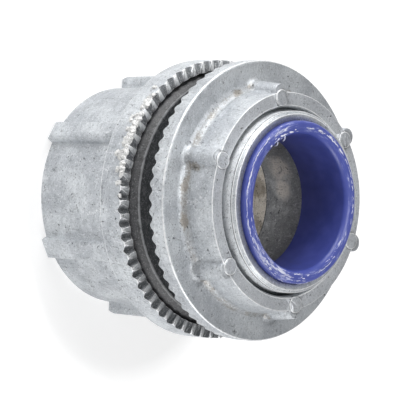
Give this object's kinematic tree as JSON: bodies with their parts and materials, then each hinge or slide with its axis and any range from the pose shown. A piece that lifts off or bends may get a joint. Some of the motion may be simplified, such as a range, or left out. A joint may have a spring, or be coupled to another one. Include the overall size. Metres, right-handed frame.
{
  "type": "conduit hub",
  "caption": "Weatherproof conduit hub: ribbed die-cast barrel with a threaded socket, toothed sealing flange with gasket, threaded nipple, toothed locknut and insulated throat.",
  "frame": {"origin": "centre of the barrel's end face, where the conduit socket opens", "axes": "+Z along the conduit axis, from the socket end towards the nose; +X through the middle of one barrel rib"},
  "size_m": [0.0504, 0.0504, 0.0462],
  "materials": {
    "body_zinc": "as-cast zinc die casting, pale grey, finely pitted",
    "gasket_rubber": "matt black moulded rubber",
    "liner_nylon": "deep blue moulded nylon with a soft sheen",
    "nut_zinc": "as-cast zinc die casting, pale grey, finely pitted"
  },
  "bodies": {
    "hub": {"hub_body": "body_zinc", "sealing_gasket": "gasket_rubber", "throat_liner": "liner_nylon"},
    "nut": {"hub_nut": "nut_zinc"}
  },
  "joints": [
    {"name": "nut_travel", "type": "slide", "parent": "hub", "child": "nut", "axis": [0, 0, 1], "range_m": [-0.0064, 0.005]}
  ]
}
